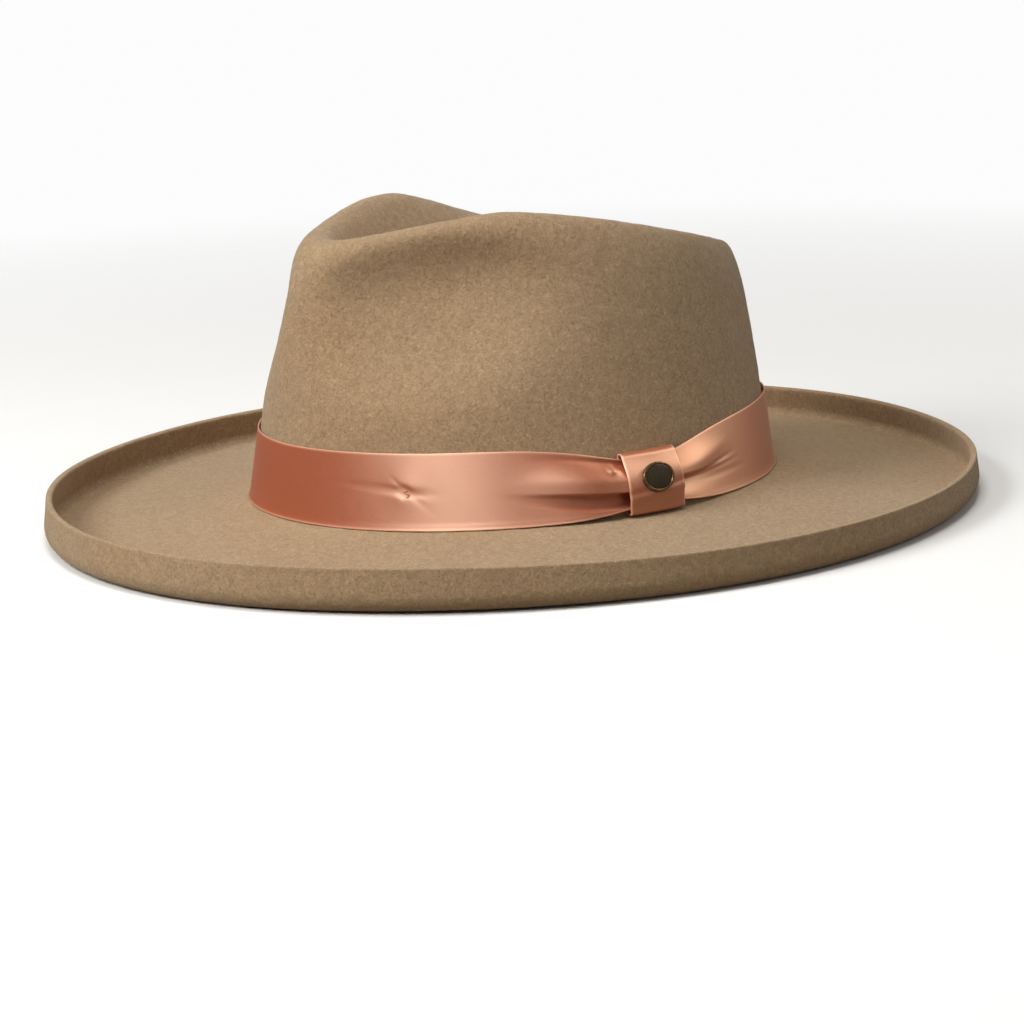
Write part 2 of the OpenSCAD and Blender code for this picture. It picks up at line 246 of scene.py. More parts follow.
def crown_crease(a, v):
    edge = crown_wall(a, 1)
    run = lerp(CREASE_RUN, CREASE_RUN_TIP, frontness(a) ** 3)
    p = lerp(edge, CREASE_MIDDLE, wide(v))
    return raised(p, lerp(edge[..., 2], PEAK_Z - CREASE, ease(v / run)) + CREASE_BUMP * ease(2 * v - 1))


def crown(a, s):
    a, s = matched(a, s)
    wall = crown_wall(a, np.clip(s, 0, 1))
    crease = crown_crease(a, np.clip(s - 1, 0, 1))
    return np.where(wide(s) <= 1, wall, crease)


def normal(a, s):
    around = crown(a + 0.5, s) - crown(a - 0.5, s)
    up = crown(a, s + 0.01) - crown(a, np.maximum(s - 0.01, 0))
    return unit(np.cross(around, up))


def wall_at(a, z):
    """How far up the crown's wall, from 0 to 1, a height is."""
    low = np.zeros(np.broadcast(a, z).shape)
    high = low + 0.9
    for _ in range(18):
        middle = (low + high) / 2
        under = crown_wall(a, middle)[..., 2] < z
        low = np.where(under, middle, low)
        high = np.where(under, high, middle)
    return (low + high) / 2


def at_height(a, z, d):
    """A point on the crown at that height and that depth inside the felt's outside."""
    a, z, d = matched(a, z, d)
    s = wall_at(a, z)
    out = normal(a, s)
    out[..., 2] = 0
    reach = np.sum(out * out, -1)
    return raised(crown(a, s) - out * wide(d / reach), z)


def inside_point(a, z, d):
    """The same, below the crown's foot too."""
    return np.where(wide(z < CROWN_Z0), oval(a, -d, z), at_height(a, np.maximum(z, CROWN_Z0), d))


def off_wall(a, z, d):
    """The same, further out by the felt's flare where the crown turns into the brim."""
    return inside_point(a, z, d - FLARE * bell(z - BREAK_Z, FLARE_RUN))


def felt_frame(a, z, d):
    """The place on the felt at an angle and height, with x along the band, y up and z outwards."""
    out = normal(a, wall_at(a, z))
    side = unit(np.cross([0, 0, 1], out))
    rise = np.cross(out, side)
    return at_height(a, z, d), side, rise, out


# ---- camera, light and floor
CAMERA_AZIMUTH = 60
CAMERA_ELEVATION = 12.85
CAMERA_ROLL = -2.06
CAMERA_DISTANCE = 1710
CAMERA_LENS = 156.8
AIM_DROP = 13.8
AIM_LEFT = 0.92

LAMP_DISTANCE = 1700
LAMP_AIM_Z = 50
# Each softbox's azimuth, elevation, size, watts and colour
FELT_LAMPS = {
    "key": (3, 35, (800, 800), 24.0, (1.0, 0.99, 0.965)),
    "top": (45, 80, (900, 900), 16.5, (1.0, 0.99, 0.97)),
    "right": (112, 28, (700, 900), 2.8, (1.0, 0.985, 0.965)),
}
# Only gloss reflects these, which is what gives the satin its broad highlight
GLOSS_LAMPS = {
    "gloss": (47, 43, (1000, 800), 38.0, (1.0, 0.98, 0.95)),
    "gloss_right": (165, 36, (1000, 800), 24.0, (1.0, 0.78, 0.62)),
}
AMBIENT = 0.13
AMBIENT_COLOUR = (1.0, 0.94, 0.85, 1)


def view_axes(azimuth, elevation, roll=0.0):
    """The directions to the right, up and back towards a viewer who looks at the hat."""
    level = cosd(elevation)
    back = np.array([sind(azimuth) * level, -cosd(azimuth) * level, sind(elevation)])
    right = np.array([cosd(azimuth), sind(azimuth), 0])
    up = np.cross(back, right)
    return right * cosd(roll) + up * sind(roll), up * cosd(roll) - right * sind(roll), back


def placed(axes, at):
    m = Matrix.Identity(4)
    for row in range(3):
        m[row] = (*(axis[row] for axis in axes), at[row] * MM)
    return m


def added(name, data):
    thing = bpy.data.objects.new(name, data)
    bpy.context.scene.collection.objects.link(thing)
    return thing


def make_camera():
    axes = view_axes(CAMERA_AZIMUTH, CAMERA_ELEVATION, CAMERA_ROLL)
    aim = np.array([0, 0, BREAK_Z]) - axes[1] * AIM_DROP - axes[0] * AIM_LEFT
    data = bpy.data.cameras.new("camera")
    data.lens = CAMERA_LENS
    data.clip_end = 100
    camera = added("camera", data)
    camera.matrix_world = placed(axes, aim + axes[2] * CAMERA_DISTANCE)
    bpy.context.scene.camera = camera


def softbox(name, azimuth, elevation, size, watts, colour):
    axes = view_axes(azimuth, elevation)
    data = bpy.data.lights.new(name, "AREA")
    data.shape = "RECTANGLE"
    data.size, data.size_y = size[0] * MM, size[1] * MM
    data.energy = watts
    data.color = colour
    lamp = added(name, data)
    lamp.matrix_world = placed(axes, np.array([0, 0, LAMP_AIM_Z]) + axes[2] * LAMP_DISTANCE)
    return lamp


def make_lights():
    for name, lamp in FELT_LAMPS.items():
        softbox(name, *lamp).visible_glossy = False
    for name, lamp in GLOSS_LAMPS.items():
        softbox(name, *lamp).visible_diffuse = False


def make_world():
    """A white background, which throws only a little warm light."""
    world = bpy.data.worlds.new("studio")
    world.use_nodes = True
    tree = world.node_tree
    ambient = tree.nodes["Background"]
    ambient.inputs["Color"].default_value = AMBIENT_COLOUR
    ambient.inputs["Strength"].default_value = AMBIENT
    white = tree.nodes.new("ShaderNodeBackground")
    white.inputs["Color"].default_value = (0.98, 0.98, 0.98, 1)
    path = tree.nodes.new("ShaderNodeLightPath")
    blend = tree.nodes.new("ShaderNodeMixShader")
    sources = path.outputs["Is Camera Ray"], ambient.outputs[0], white.outputs[0]
    for source, socket in zip(sources, blend.inputs):
        tree.links.new(source, socket)
    tree.links.new(blend.outputs[0], tree.nodes["World Output"].inputs["Surface"])
    bpy.context.scene.world = world
    bpy.context.scene.view_settings.view_transform = "Standard"


# ---- materials
# A wave texture of this scale has one wave in each unit of length
WAVE_SCALE = 0.314


class Shader:
    """A Principled material with a few short ways to add nodes to it. Sizes are in millimetres."""

    def __init__(self, name, **fixed):
        self.material = bpy.data.materials.new(name)
        self.material.use_nodes = True
        self.tree = self.material.node_tree
        self.surface = self.tree.nodes["Principled BSDF"]
        self.place = self.add("TexCoord").outputs["Object"]
        for socket, value in fixed.items():
            self.surface.inputs[socket.replace("_", " ")].default_value = value

    def add(self, kind, inputs=None, **settings):
        node = self.tree.nodes.new("ShaderNode" + kind)
        for name, value in settings.items():
            setattr(node, name, value)
        for key, value in (inputs or {}).items():
            socket = node.inputs[key]
            if isinstance(value, bpy.types.NodeSocket):
                self.tree.links.new(value, socket)
            else:
                socket.default_value = value
        return node

    def noise(self, size, detail, rough, at=None, distortion=0.0):
        inputs = {"Vector": at or self.place, "Scale": 1 / (size * MM)}
        inputs |= {"Detail": detail, "Roughness": rough, "Distortion": distortion}
        return self.add("TexNoise", inputs).outputs["Fac"]

    def stretched(self, vector, factors):
        return self.add("VectorMath", {0: vector, 1: factors}, operation="MULTIPLY").outputs[0]

    def math(self, kind, a, b):
        return self.add("Math", {0: a, 1: b}, operation=kind).outputs[0]

    def scaled(self, value, low_in, high_in, low_out=0, high_out=1):
        inputs = {"Value": value, "From Min": low_in, "From Max": high_in}
        inputs |= {"To Min": low_out, "To Max": high_out}
        return self.add("MapRange", inputs).outputs["Result"]

    def mix(self, share, a, b, kind="MIX"):
        return self.add("Mix", {0: share, 6: a, 7: b}, data_type="RGBA", blend_type=kind).outputs[2]

    def flat(self):
        """The piece's own flat coordinates, in metres along and across it."""
        return self.add("UVMap", uv_map="cloth").outputs[0]

    def waves(self, at, way, pitch, **settings):
        """Straight ribs with that distance between them."""
        inputs = {"Vector": at, "Scale": WAVE_SCALE / (pitch * MM), **settings}
        return self.add("TexWave", inputs, bands_direction=way).outputs["Fac"]

    def bump(self, height, depth, strength=1.0, under=None):
        inputs = {"Height": height, "Distance": depth * MM, "Strength": strength}
        if under:
            inputs["Normal"] = under
        return self.add("Bump", inputs).outputs[0]

    def put(self, **outputs):
        for socket, value in outputs.items():
            self.tree.links.new(value, self.surface.inputs[socket.replace("_", " ")])
        return self.material


def tone(red, green, blue):
    """A colour given as a screen shows it, from 0 to 255, as the linear colour that nodes use."""
    def linear(c):
        c /= 255
        return c / 12.92 if c <= 0.04045 else ((c + 0.055) / 1.055) ** 2.4
    return (linear(red), linear(green), linear(blue), 1.0)


def shade(colour, factor):
    return tuple(c * factor for c in colour[:3]) + (1.0,)


FELT = (0.375, 0.258, 0.150, 1.0)
FELT_WARM = (0.36, 0.232, 0.128, 1.0)
FELT_PALE = (0.42, 0.325, 0.215, 1.0)


def felt_material():
    """Wool felt: a mottle of matted fibre clumps under a short, pale nap."""
    m = Shader("wool_felt", Roughness=0.95, Sheen_Weight=0.3, Sheen_Roughness=0.45,
               Sheen_Tint=(0.95, 0.92, 0.84, 1), Specular_IOR_Level=0.12)
    fibres = m.noise(0.9, 6, 0.78, distortion=0.8)
    clumps = m.noise(2.6, 4, 0.7, distortion=0.4)
    patches = m.noise(48, 2, 0.5)
    specks = m.noise(1.5, 3, 0.65, at=m.stretched(m.place, (1.0, 1.0, 1.6)))
    tint = m.mix(m.scaled(patches, 0.38, 0.66, 0, 0.55), FELT, FELT_WARM)
    tint = m.mix(m.scaled(specks, 0.54, 0.74, 0, 0.55), tint, FELT_PALE)
    light = m.scaled(fibres, 0.32, 0.68, 0.66, 1.34)
    lumps = m.scaled(clumps, 0.3, 0.7, 0.84, 1.16)
    both = m.math("MULTIPLY", light, lumps)
    colour = m.mix(1.0, tint, m.add("CombineColor", {0: both, 1: both, 2: both}).outputs[0], "MULTIPLY")
    soft = m.bump(clumps, 0.6, 0.8)
    return m.put(Base_Color=colour, Normal=m.bump(fibres, 0.32, 1.0, soft))


SATIN = (0.37, 0.082, 0.036, 1.0)


def satin_material(name, colour, edge, shine, bend):
    """Satin: long floats along the piece, so its gloss spreads across them, and paler edges, partly the woven
    selvage's own colour and partly a painted highlight where light catches the edge.
    """
    m = Shader(name, IOR=bend, Specular_IOR_Level=1.0, Specular_Tint=(1.0, 0.78, 0.58, 1),
               Anisotropic=0.6, Anisotropic_Rotation=0.25,
               Sheen_Weight=0.10, Sheen_Roughness=0.4, Sheen_Tint=(1, 0.85, 0.75, 1))
    flat = m.flat()
    floats = m.noise(0.45, 3, 0.65, m.stretched(flat, (0.14, 1.0, 1.0)))
    cross = m.noise(0.5, 2, 0.5, m.stretched(flat, (1.0, 0.25, 1.0)))
    cloud = m.noise(8, 3, 0.55, flat)
    weave = m.math("ADD", m.math("MULTIPLY", floats, 0.65), m.math("MULTIPLY", cross, 0.35))
    body = m.mix(m.scaled(weave, 0.35, 0.65), shade(colour, 0.86), shade(colour, 1.14))
    body = m.mix(m.scaled(cloud, 0.3, 0.7, 0, 0.35), body, shade(colour, 1.15))
    # The paler edge is partly the selvage's own colour and partly a painted highlight, as if light caught the
    # edge
    selvage = m.add("Attribute", attribute_name="selvage").outputs["Fac"]
    body = m.mix(selvage, body, edge)
    rough = m.scaled(weave, 0.3, 0.7, shine - 0.05, shine + 0.07)
    tangent = m.add("Tangent", direction_type="UV_MAP", uv_map="cloth").outputs[0]
    return m.put(Base_Color=body, Roughness=rough, Normal=m.bump(weave, 0.05, 0.5), Tangent=tangent)


def thread_material(name, colour):
    m = Shader(name, Roughness=0.55, Sheen_Weight=0.2, Specular_IOR_Level=0.4)
    twist = m.noise(0.35, 2, 0.5, m.stretched(m.place, (1.0, 1.0, 0.5)))
    body = m.mix(m.scaled(twist, 0.35, 0.65), shade(colour, 0.75), shade(colour, 1.2))
    return m.put(Base_Color=body, Normal=m.bump(twist, 0.12, 0.7))


def brass_material():
    m = Shader("antique_brass", Metallic=1.0)
    stain = m.noise(1.6, 5, 0.65)
    fine = m.noise(0.35, 3, 0.6)
    dirt = m.scaled(stain, 0.4, 0.62)
    colour = m.mix(dirt, tone(140, 118, 80), tone(74, 61, 42))
    rough = m.scaled(dirt, 0, 1, 0.3, 0.58)
    return m.put(Base_Color=colour, Roughness=rough, Normal=m.bump(fine, 0.04, 0.4))


def enamel_material():
    m = Shader("dark_enamel", Coat_Weight=0.12, Coat_Roughness=0.25, Specular_IOR_Level=0.25)
    specks = m.noise(0.6, 4, 0.6)
    cloud = m.noise(4, 2, 0.5)
    colour = m.mix(m.scaled(specks, 0.35, 0.7), tone(48, 41, 27), tone(66, 57, 40))
    rough = m.scaled(cloud, 0.3, 0.7, 0.34, 0.5)
    return m.put(Base_Color=colour, Roughness=rough, Normal=m.bump(specks, 0.03, 0.4))


def leather_material():
    m = Shader("sweatband_leather", Specular_IOR_Level=0.45)
    tan = tone(112, 72, 45)
    pores = m.add("TexVoronoi", {"Vector": m.place, "Scale": 1 / (1.3 * MM)}, feature="DISTANCE_TO_EDGE")
    folds = m.noise(2.2, 4, 0.6)
    cloud = m.noise(26, 3, 0.5)
    cells = m.scaled(pores.outputs[0], 0.0, 0.18)
    colour = m.mix(m.scaled(cloud, 0.3, 0.7), tan, tone(139, 93, 60))
    colour = m.mix(cells, shade(tan, 0.62), colour)
    height = m.math("ADD", m.math("MULTIPLY", cells, 0.6), m.math("MULTIPLY", folds, 0.4))
    rough = m.scaled(folds, 0.3, 0.7, 0.42, 0.6)
    return m.put(Base_Color=colour, Roughness=rough, Normal=m.bump(height, 0.12, 0.6))


def tape_material(name, colour):
    """Grosgrain: fine ribs across the tape."""
    m = Shader(name, Roughness=0.7, Specular_IOR_Level=0.25, Sheen_Weight=0.15)
    ribs = m.waves(m.flat(), "X", 0.55, Distortion=0.4, Detail=1.0)
    fuzz = m.noise(0.4, 3, 0.6)
    body = m.mix(ribs, shade(colour, 0.72), shade(colour, 1.12))
    body = m.mix(m.scaled(fuzz, 0.3, 0.7, 0, 0.3), body, shade(colour, 1.35))
    return m.put(Base_Color=body, Normal=m.bump(ribs, 0.12, 0.7))


def reed_material():
    m = Shader("reed_plastic", Specular_IOR_Level=0.45)
    cloud = m.noise(2.5, 3, 0.5)
    colour = m.mix(cloud, tone(205, 198, 182), tone(226, 220, 206))
    rough = m.scaled(cloud, 0.3, 0.7, 0.35, 0.5)
    return m.put(Base_Color=colour, Roughness=rough, Normal=m.bump(cloud, 0.05, 0.4))


def label_material():
    m = Shader("woven_label", Roughness=0.75, Specular_IOR_Level=0.2, Sheen_Weight=0.1)
    flat = m.flat()
    weave = m.math("MULTIPLY", m.waves(flat, "X", 0.4), m.waves(flat, "Y", 0.4))
    colour = m.mix(weave, tone(206, 196, 176), tone(233, 226, 211))
    edge = m.add("Attribute", attribute_name="selvage").outputs["Fac"]
    colour = m.mix(edge, colour, tone(186, 172, 148))
    return m.put(Base_Color=colour, Normal=m.bump(weave, 0.08, 0.6))


# ---- mesh making
THREAD_SIDES = 8


def face_outwards(mesh):
    """Turn every face so that it looks out of the closed shape it belongs to."""
    shell = bmesh.new()
    shell.from_mesh(mesh)
    bmesh.ops.recalc_face_normals(shell, faces=shell.faces)
    shell.to_mesh(mesh)
    shell.free()


def build(name, verts, faces, material, uv=None, selvage=None):
    """A smooth mesh from points in millimetres and lists of corner numbers. End caps come last and
    need no flat coordinates."""
    mesh = bpy.data.meshes.new(name)
    groups = [np.asarray(f, np.int32) for f in faces]
    corners = np.concatenate([g.reshape(-1) for g in groups])
    sizes = np.concatenate([np.full(len(g), g.shape[1]) for g in groups])
    verts = np.asarray(verts, float).reshape(-1, 3)
    mesh.vertices.add(len(verts))
    mesh.vertices.foreach_set("co", (verts * MM).astype(np.float32).reshape(-1))
    mesh.loops.add(len(corners))
    mesh.loops.foreach_set("vertex_index", corners)
    mesh.polygons.add(len(sizes))
    starts = np.cumsum(sizes) - sizes
    mesh.polygons.foreach_set("loop_start", starts.astype(np.int32))
    mesh.polygons.foreach_set("use_smooth", np.ones(len(sizes), bool))
    if uv is not None:
        layer = mesh.uv_layers.new(name="cloth")
        flat = np.zeros((len(corners), 2), np.float32)
        flat[:len(uv)] = uv * MM
        layer.data.foreach_set("uv", flat.reshape(-1))
    if selvage is not None:
        attribute = mesh.attributes.new("selvage", "FLOAT", "POINT")
        attribute.data.foreach_set("value", np.asarray(selvage, np.float32).reshape(-1))
    mesh.update(calc_edges=True)
    mesh.validate()
    face_outwards(mesh)
    mesh.materials.append(material)
    return added(name, mesh)


def keep(piece, slot, *nodes):
    """The piece stands for those CAD nodes and rides on the hat. The slot is not used."""
    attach(piece, "root")
    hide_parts(*nodes)
    return piece


def wound(corners, turned):
    """A face's four corners, run the other way round if turned."""
    return corners[:1] + corners[:0:-1] if turned else corners


def grid_faces(rows, columns, close_rows=False, close_columns=False, turned=False, start=0):
    """Four-cornered faces of a grid, whose points run along each row."""
    i = np.arange(rows if close_rows else rows - 1)[:, None]
    j = np.arange(columns if close_columns else columns - 1)[None, :]
    near, far, after = i * columns, (i + 1) % rows * columns, (j + 1) % columns
    corners = [near + j, near + after, far + after, far + j]
    return start + np.stack(wound(corners, turned), -1).reshape(-1, 4)


def grid_uv(along, across, turned=False):
    """Flat coordinates at each face's corners: along has one value more than the faces that way."""
    p = np.stack(grid(along, across), -1)
    corners = [p[:-1, :-1], p[:-1, 1:], p[1:, 1:], p[1:, :-1]]
    return np.stack(wound(corners, turned), 2).reshape(-1, 2)


def end_caps(rows, columns, start=0, turn=1):
    """The two faces that close a grid's first and last rows. With turn -1 they run the other way."""
    first = start + np.arange(columns)[::-turn]
    last = start + (rows - 1) * columns + np.arange(columns)[::turn]
    return [first[None, :], last[None, :]]


def lengths(line):
    """How far along a line of points each one is."""
    step = np.linalg.norm(np.diff(line, axis=0), axis=1)
    return np.concatenate([[0], np.cumsum(step)])


def round_lengths(line):
    """The same for a closed line, with its whole length last."""
    return lengths(np.concatenate([line, line[:1]]))


def outlines(up, down, round_by):
    """Closed outlines from the two faces of a cloth, one run upwards and one down, with rounded edges."""
    lift = np.array([0, 0, round_by])
    top = (up[:, -1:] + down[:, :1]) / 2 + lift
    bottom = (up[:, :1] + down[:, -1:]) / 2 - lift
    return np.concatenate([up, top, down, bottom], 1)


def ring_piece(name, sections, material, across=None, selvage=None):
    """A closed band: sections go round the hat, and each one is a closed outline."""
    if across is None:
        across = round_lengths(sections[0])
    faces = grid_faces(*sections.shape[:2], True, True)
    return build(name, sections, [faces], material, grid_uv(round_lengths(sections.mean(1)), across), selvage)


def strip_piece(name, sections, material, across, selvage=None):
    """A strip with two ends: each section is a closed outline."""
    n, k = sections.shape[:2]
    uv = grid_uv(lengths(sections.mean(1)), across)
    faces = [grid_faces(n, k, False, True), *end_caps(n, k)]
    return build(name, sections, faces, material, uv, selvage)


def tube(line, radius):
    """Points of a round thread along a line, tapered at both ends."""
    ahead = unit(np.gradient(line, axis=0))
    side = unit(np.cross(ahead, [0.31, 0.17, 0.93]))
    other = np.cross(ahead, side)
    r = radius * np.sqrt(np.clip(1 - np.abs(np.linspace(-1, 1, len(line))) ** 6, 0.04, 1))
    b = full_turn(THREAD_SIDES)
    spokes = side[:, None] * cosd(b)[None, :, None] + other[:, None] * sind(b)[None, :, None]
    return line[:, None] + spokes * r[:, None, None]


def thread_piece(name, lines, radius, material):
    """Many short threads of as many points each, as one piece."""
    tubes = np.array([tube(line, radius) for line in lines])
    count, n, k = tubes.shape[:3]
    starts = [n * k * i for i in range(count)]
    quads = np.concatenate([grid_faces(n, k, False, True, start=start) for start in starts])
    caps = np.concatenate([cap for start in starts for cap in end_caps(n, k, start)])
    return build(name, tubes, [quads, caps], material)


# ---- felt body
SEGMENTS = 420
EDGE_ROUND = 1.0
LEVEL_RUN = 9
CURL_W = BRIM_W - CURL_R - FELT_T
FLAT_W = CURL_W - LEVEL_RUN
# The under skin keeps every second ring in its outer part and every third inside
UNDER_OUTER = 72


def rim_top(a):
    return RIM_Z + RIM_FRONT * frontness(a) ** 2


def felt_profile(a):
    """The felt's upper skin as rings from just under the rolled edge's top to the crease."""
    rings = []
    turned_z = FELT_T + CURL_R * (1 - cosd(CURL_TURN))
    for share in np.linspace(1, 0, 6)[:-1]:
        rise = (rim_top(a) - EDGE_ROUND - turned_z) * share
        w = CURL_W + CURL_R * sind(CURL_TURN) + rise / math.tan(math.radians(CURL_TURN))
        rings.append(oval(a, w, turned_z + rise))
    for turn in np.linspace(CURL_TURN, 0, 20):
        rings.append(oval(a, CURL_W + CURL_R * sind(turn), FELT_T + CURL_R * (1 - cosd(turn))))
    for w in np.linspace(0, LEVEL_RUN, 8)[1:-1]:
        rings.append(oval(a, CURL_W - w, FELT_T))
    for u in np.linspace(1, 0, 36):
        w = BREAK_R + (FLAT_W - BREAK_R) * u
        rings.append(oval(a, w, FELT_T + (BREAK_Z - FELT_T) * (1 - u) ** 1.5))
    for turn in np.linspace(0, 90, 7)[1:-1]:
        rings.append(oval(a, BREAK_R * (1 - sind(turn)), BREAK_Z + BREAK_R * (1 - cosd(turn))))
    wall = np.linspace(0, 1, 64)
    crease = 1 + np.linspace(0, 0.96, 40)[1:]
    for s in np.concatenate([wall, crease]):
        rings.append(crown(a, s))
    return np.array(rings)


def hand_made(p):
    """The small unevenness of a blocked hat: its brim is slightly wavy."""
    a = np.degrees(np.arctan2(p[..., 1] / BASE_HY, p[..., 0] / BASE_HX))
    reach = np.hypot(p[..., 0] / BASE_HX, p[..., 1] / BASE_HY) - 1
    edge = ease(reach / 0.6)
    wave = ripple(a, 1.3, [(2, 0.3), (3, 0.28), (5, 0.16), (8, 0.08)])
    out = p.copy()
    out[..., 2] += edge * (0.55 + wave) * np.where(p[..., 2] > 1, 1, 0.6)
    sway = edge * ripple(a, 2.1, [(2, 0.5), (3, 0.35), (5, 0.2)])
    out[..., :2] *= 1 + wide(sway) / 170
    return out


def skin_normals(g):
    around = np.roll(g, -1, 1) - np.roll(g, 1, 1)
    return unit(np.cross(around, np.gradient(g, axis=0)))


def rounded_edge(upper, under, height):
    """Rings over the cut edge, from the upper skin to the under skin."""
    middle, half = (upper + under) / 2, (upper - under) / 2
    rings = []
    for turn in np.linspace(0, 180, 9)[1:-1]:
        square = math.copysign(abs(cosd(turn)) ** 0.6, cosd(turn))
        ring = middle + half * square
        ring[..., 2] += height * abs(sind(turn)) ** 0.6
        rings.append(ring)
    return rings


def make_felt(material):
    a = full_turn(SEGMENTS)
    upper = felt_profile(a)
    out = skin_normals(upper)
    under = (upper - FELT_T * out)[::-1]
    lumps = 0.16 * grain(upper, 9.0) + 0.09 * grain(upper, 3.6, 7.3)
    upper = upper + out * wide(lumps)
    count = len(under)
    thinned = [*range(0, count - UNDER_OUTER, 3), *range(count - UNDER_OUTER, count, 2), count - 1]
    under = under[np.unique(thinned)]
    edge = rounded_edge(upper[0], under[-1], EDGE_ROUND)
    rings = hand_made(np.array([*upper[::-1], *edge, *under[::-1]]))
    m, n = rings.shape[:2]
    tips = np.array([rings[0].mean(0), rings[-1].mean(0)])
    top = [[j, (j + 1) % n, m * n] for j in range(n)]
    base = (m - 1) * n
    bottom = [[base + (j + 1) % n, base + j, m * n + 1] for j in range(n)]
    faces = [grid_faces(m, n, False, True, turned=True), top, bottom]
    piece = build("felt_hat_body", np.concatenate([rings.reshape(-1, 3), tips]), faces, material)
    return keep(piece, "felt", "felt_body")


# ---- ribbon band
RIBBON_T = 0.55
RIBBON_IN = 0.3
KEEPER_HALF = math.degrees(KEEPER_W / 2 / BASE_HY)
MM_PER_DEGREE = 1.79
SQUEEZE_LOW = 3.6
SQUEEZE_HIGH = 9
# How far from the keeper, in degrees, the ribbon is gathered
GATHERED = 34
# How far a cloth's cut edge is rounded out
CLOTH_EDGE = 0.18


def on_ribbon(u, v):
    return u * MM_PER_DEGREE, v * RIBBON_H


def streak(u, v, start, end, depth, narrow, broad, lean=0.0):
    """A fold from start to end, each an angle from the keeper and a share of the ribbon's height.
    It grows from nothing and from narrow to broad, in millimetres; lean makes its upper side steeper."""
    x, y = on_ribbon(u, v)
    x0, y0 = on_ribbon(*start)
    x1, y1 = on_ribbon(*end)
    length = math.hypot(x1 - x0, y1 - y0)
    t = ((x - x0) * (x1 - x0) + (y - y0) * (y1 - y0)) / length**2
    away = ((y - y0) * (x1 - x0) - (x - x0) * (y1 - y0)) / length * math.copysign(1, x1 - x0)
    width = lerp(narrow, broad, np.clip(t, 0, 1.3)) * np.where(away > 0, 1 - lean, 1 + lean)
    past = np.maximum(t - 1, 0) * length
    return depth * ease(np.clip(t, 0, 1)) * bell(away, width) * bell(past, 9)


def streaked(total, u, v, rows):
    """The total with a streak added for each row of its measures."""
    return sum((streak(u, v, *row) for row in rows), total)


def spot(u, v, at, height, size):
    """A round rise or pit."""
    return height * bell(np.hypot(*on_ribbon(u - at[0], v - at[1])), size)


def tack_dimple(u, v, at):
    """Where thread pulls the ribbon to the felt: a small pit with short wrinkles running out of it."""
    pit = spot(u, v, (at, 0.5), 0.55, 7) + spot(u, v, (at, 0.5), -1.0, 1.9)
    return streaked(pit, u, v, [
        ((at - 21, 0.62), (at - 0.5, 0.51), -0.75, 0.9, 1.5),
        ((at + 6, 0.44), (at + 0.6, 0.49), -0.4, 0.6, 1.1),
        ((at - 4, 0.74), (at, 0.54), -0.3, 0.6, 1.1),
    ])


def front_folds(u, v):
    """The gathered ribbon in front of the keeper: a belly that overhangs a deep fold, and a lip below."""
    near = bell(np.minimum(u + 5, 0), 17, 3)
    line = 0.205 - 0.007 * (u + 6.6)
    half = 0.095 * near
    belly = 4.8 * ease((v - line - half) / 0.08) * ease((1.08 - v) / 0.5)
    lip = 2.8 * ease((line - half - v) / 0.08)
    return streaked(near * (belly + lip) + spot(u, v, (-9.2, 0.80), 1.3, 2.1), u, v, [
        ((-27, 0.90), (-8.5, 0.885), -1.5, 0.9, 1.7, -0.2),
        ((-16, 0.97), (-8, 1.0), 0.9, 0.8, 1.5),
        ((-34, 0.55), (-14, 0.60), 0.7, 3.0, 4.5),
    ])


def back_folds(u, v):
    """Behind the keeper: a broad swell above a slanting fold, with short puckers running off it."""
    near = bell(np.maximum(u - 5, 0), 13, 2.2)
    line = 0.40 - 0.004 * (u - 7)
    belly = 3.6 * ease((v - line + 0.02) / 0.16) * ease((1.10 - v) / 0.5)
    foot = 1.7 * ease((line - v) / 0.35)
    return streaked(near * (belly + foot + 0.5), u, v, [
        ((29, 0.56), (16, 0.46), -0.75, 0.7, 1.2),
        ((30, 0.44), (18, 0.40), -0.5, 0.6, 1.1),
        ((33, 0.30), (20, 0.30), -0.45, 0.6, 1.2),
        ((28, 0.74), (14, 0.66), 0.6, 2.2, 3.4),
    ])


def ribbon_puff(u, v):
    """How far the ribbon's outside stands off the felt, in millimetres."""
    low = RIBBON_IN + RIBBON_T
    total = low + np.where(u < 0, front_folds(u, v), back_folds(u, v))
    for a in TACKS:
        total += tack_dimple(u, v, wrap(a - KEEPER_AT))
    slack = ripple(u, 0.9, [(7, 0.10), (11, 0.08), (17, 0.05)]) * (0.4 + v)
    slack += 0.07 * np.sin(np.radians(9 * u) + 5 * v)
    total += (slack + 0.18) * (1 - bell(u, GATHERED, 4))
    # A soft floor keeps the cloth off the felt
    return low + np.logaddexp(0, (total - low) * 4) / 4


def ribbon_z(u, v):
    """Heights across the ribbon, whose edges draw together at the keeper."""
    low = BREAK_Z + 0.45 + SQUEEZE_LOW * bell(u, 13, 1.8)
    high = BREAK_Z + RIBBON_H - SQUEEZE_HIGH * bell(u, 17, 1.6)
    return lerp(low, high + ripple(u, 2.2, [(4, 0.12), (9, 0.07)]), v)


def ribbon_stations():
    """Angles from the keeper, closer together where the ribbon is gathered or tacked."""
    steps = []
    u = -180.0
    while u < 180:
        tack = min(abs(wrap(u + KEEPER_AT - a)) for a in TACKS)
        steps.append(u)
        u += 0.24 if abs(u) < GATHERED or tack < 10 else 0.6
    return np.array(steps)


